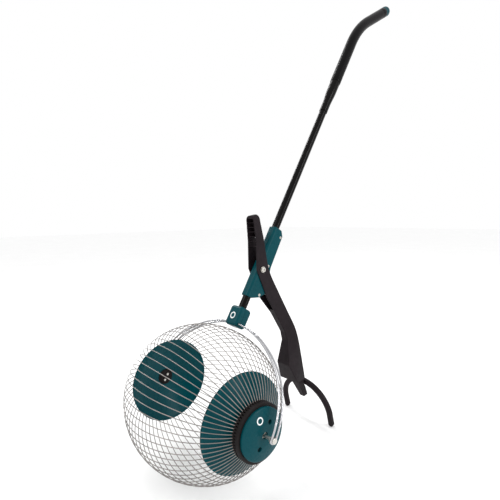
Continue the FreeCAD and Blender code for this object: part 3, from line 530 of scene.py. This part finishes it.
def side_arc(crown_centre, crown_radius, crown_angle, end):
    """Centre, radius and last angle of the arc that leaves a crown arc smoothly and ends at end."""
    angle = math.radians(crown_angle)
    out = Vector((math.sin(angle), 0, math.cos(angle)))
    start = crown_centre + out * crown_radius
    step = end - start
    radius = -step.dot(step) / (2 * step.dot(out))
    centre = start - out * radius
    return centre, radius, math.degrees(math.atan2(end.x - centre.x, end.z - centre.z))


def build_wires():
    """The 64 wires from hub to hub, in the four groups of the frame."""
    top = CAGE_RADIUS - WIRE_RADIUS
    crown = Vector((0, 0, top - WIRE_CROWN_RADIUS))
    end = Vector((CAGE_HALF_LENGTH * math.sqrt(1 - (WIRE_SEAT / top) ** 2), 0, WIRE_SEAT))
    centre, radius, last = side_arc(crown, WIRE_CROWN_RADIUS, WIRE_CROWN_ANGLE, end)
    half = arc_points(crown, WIRE_CROWN_RADIUS, 0, WIRE_CROWN_ANGLE, 14)
    half += arc_points(centre, radius, WIRE_CROWN_ANGLE, last, 17)[1:]
    path = [Vector((-p.x, 0, p.z)) for p in reversed(half[1:])] + half
    one_points, one_faces = rod(path, WIRE_RADIUS, 10, Vector((0, 1, 0)))
    share = WIRE_COUNT // len(WIRE_GROUPS)
    for group, name in enumerate(WIRE_GROUPS):
        parts = []
        for index in range(group * share, (group + 1) * share):
            turn = Matrix.Rotation(2 * math.pi * (index + 0.5) / WIRE_COUNT, 4, "X")
            parts.append(([turn @ point for point in one_points], one_faces))
        points, faces = joined(parts)
        node = "wires_" + name
        mesh = shaded(mesh_of(node + "_drawn", points, faces, TOOL), 50)
        new_piece(node + "_drawn", mesh, "basket", FINISHES["cage_wire"], [node])


BAIL_HALF_SPAN = 205.0
BAIL_HEIGHT = 165.0
BAIL_HALF_GAP = 5.0
BAIL_INNER_X = 5.0
BAIL_WIRE_RADIUS = 2.0
BAIL_CROWN_RADIUS = 240.1
BAIL_CROWN_ANGLE = 39.9


def build_bails():
    """Each side of the bail: one wire down, round the axle pin, and back up."""
    crown = Vector((0, 0, BAIL_HEIGHT - BAIL_CROWN_RADIUS))
    foot = Vector((BAIL_HALF_SPAN, 0, 0))
    centre, radius, last = side_arc(crown, BAIL_CROWN_RADIUS, BAIL_CROWN_ANGLE, foot)
    start = math.degrees(math.asin(BAIL_INNER_X / BAIL_CROWN_RADIUS))
    leg = arc_points(crown, BAIL_CROWN_RADIUS, start, BAIL_CROWN_ANGLE, 30)
    leg += arc_points(centre, radius, BAIL_CROWN_ANGLE, last, 40)[1:]
    loop = []
    for index in range(1, 18):
        angle = math.pi * index / 18
        round_pin = Vector((0, math.cos(angle), -math.sin(angle))) * BAIL_HALF_GAP
        loop.append(foot + round_pin)
    back = Vector((0, BAIL_HALF_GAP, 0))
    path = [point + back for point in leg] + loop + [point - back for point in reversed(leg)]
    for name, side in SIDES:
        turned = [Vector((side * point.x, point.y, point.z)) for point in path]
        points, faces = rod(turned, BAIL_WIRE_RADIUS, 20, Vector((0, 1, 0)))
        node = "bail_" + name
        mesh = shaded(mesh_of(node + "_bent", points, faces, TOOL), 50)
        new_piece(node + "_bent", mesh, "frame", FINISHES["bail_steel"], [node])


# Plain rings in place of the marks on the real tool

BLOCK_RING = Vector((0, -13.0, 178.0))
CAP_RING_Y = -23.0
CAP_RING_Z = 19.0
RING_SINK = 0.1
# (radius, x) along the cap's domed face
CAP_FACE = ((10.0, 186.0), (19.0, 186.0), (29.0, 184.6), (38.0, 182.6), (44.0, 181.0), (46.0, 179.8))


def ring_points(outer, inner, height, sides):
    """A flat ring with chamfered edges as (across, up, height) rows, and its faces."""
    edge = 0.2
    section = [(inner, 0), (inner, height - edge), (inner + edge, height),
               (outer - edge, height), (outer, height - edge), (outer, 0)]
    rows = []
    faces = []
    for step in range(sides):
        angle = 2 * math.pi * step / sides
        for radius, rise in section:
            rows.append((radius * math.cos(angle), radius * math.sin(angle), rise))
    count = len(section)
    for step in range(sides):
        after = (step + 1) % sides
        for index in range(count):
            follow = (index + 1) % count
            faces.append((step * count + index, step * count + follow,
                          after * count + follow, after * count + index))
    return rows, faces


def cap_face_x(radius):
    """Outer face of the hub cap at a radius from the axle."""
    for (near, near_x), (far, far_x) in zip(CAP_FACE, CAP_FACE[1:]):
        if radius <= far:
            return near_x + (far_x - near_x) * (radius - near) / (far - near)
    return CAP_FACE[-1][1]


def build_marks():
    """One ring on the block's front and one on each cap, each let into its surface by RING_SINK."""
    rows, faces = ring_points(7.5, 5.0, 0.35, 72)
    points = [BLOCK_RING + Vector((across, RING_SINK - rise, up)) for across, up, rise in rows]
    mesh = shaded(mesh_of("block_ring", points, faces, TOOL))
    new_piece("block_ring", mesh, "frame", MARK_FINISH)
    rows, faces = ring_points(6.5, 4.3, 0.3, 72)
    for name, side in SIDES:
        points = []
        for across, up, rise in rows:
            y = CAP_RING_Y + across
            z = CAP_RING_Z + up
            x = cap_face_x(math.hypot(y, z)) - RING_SINK + rise
            points.append(Vector((side * x, y, z)))
        mesh = shaded(mesh_of("cap_ring_" + name, points, faces, TOOL))
        new_piece("cap_ring_" + name, mesh, "basket", MARK_FINISH)


# Mouldings: (node, voxel in millimetres, rounds of relaxing, share of faces kept)
MOULDINGS = (
    ("lever", 0.9, 3, 0.55),
    ("fork", 0.7, 3, 0.6),
    ("block_front", 0.5, 3, 0.45),
    ("block_back", 0.5, 3, 0.45),
    ("bracket_left", 0.5, 2, 0.4),
    ("bracket_right", 0.5, 2, 0.4),
    ("hub_cap_left", 0.5, 2, 0.4),
    ("hub_cap_right", 0.5, 2, 0.4),
)


def finish_cad_nodes():
    """Each CAD node's finish. The cap screws are painted darker than the others, a painted shade for the deep
    holes they sit in.
    """
    for name, obj in frame["nodes"].items():
        finish = SCREWS_PAINTED_SHADE if name == "hub_cap_screws" else FINISHES[SLOT_OF[name]]
        give_finish(obj, finish)


# Stage, light and camera

def area_light(name, place, aim, width, height, power, colour):
    data = bpy.data.lights.new(name, "AREA")
    data.shape = "RECTANGLE"
    data.size = width
    data.size_y = height
    data.energy = power
    data.color = colour
    obj = bpy.data.objects.new(name, data)
    obj.location = place
    obj.rotation_mode = "QUATERNION"
    obj.rotation_quaternion = (Vector(aim) - Vector(place)).to_track_quat("-Z", "Y")
    bpy.context.scene.collection.objects.link(obj)


def build_stage():
    """A white floor under a white sky, with a soft key, a fill and two narrow strips for highlights."""
    floor_mesh = bpy.data.meshes.new("floor")
    reach = 14.0
    corners = [(-reach, -reach, 0), (reach, -reach, 0), (reach, reach, 0), (-reach, reach, 0)]
    floor_mesh.from_pydata(corners, [], [(0, 1, 2, 3)])
    floor = bpy.data.objects.new("floor", floor_mesh)
    bpy.context.scene.collection.objects.link(floor)
    paper = surface("floor_paper", (0.97, 0.97, 0.97), (0.85, 0.95), tint=0.01, blotch=3.0, grain=60.0,
                    relief=0.02, specular=0.1)
    give_finish(floor, paper)
    world = bpy.data.worlds.new("studio")
    world.use_nodes = True
    world.node_tree.nodes["Background"].inputs["Color"].default_value = (1.0, 1.0, 1.0, 1.0)
    world.node_tree.nodes["Background"].inputs["Strength"].default_value = 1.0
    bpy.context.scene.world = world
    area_light("key", (-0.6, -2.6, 2.6), (0, 0, 0.4), 1.6, 1.6, 26.0, (1.0, 0.99, 0.97))
    area_light("strip", (-2.2, 0.2, 2.3), (0, 0.1, 0.75), 0.12, 2.4, 24.0, (1.0, 1.0, 1.0))
    area_light("edge", (2.2, 0.6, 1.2), (0, 0, 0.6), 0.10, 2.4, 14.0, (1.0, 1.0, 1.0))
    area_light("fill", (2.6, 0.8, 1.8), (0, 0, 0.4), 1.4, 1.4, 8.0, (0.96, 0.98, 1.0))
    bpy.context.scene.view_settings.view_transform = "Standard"


def build_camera():
    data = bpy.data.cameras.new("camera")
    data.lens = CAMERA_LENS
    data.sensor_width = 36.0
    camera = bpy.data.objects.new("camera", data)
    aim = CAMERA_AIM.normalized()
    right = aim.cross(CAMERA_UP).normalized()
    up = right.cross(aim)
    turn = Matrix((right, up, -aim)).transposed().to_4x4()
    camera.matrix_world = Matrix.Translation(CAMERA_PLACE) @ turn
    bpy.context.scene.collection.objects.link(camera)
    bpy.context.scene.camera = camera


finish_cad_nodes()
build_shaft()
build_handle()
build_grip()
build_discs()
build_wires()
build_bails()
build_marks()
for row in MOULDINGS:
    moulded(*row)
build_stage()
build_camera()
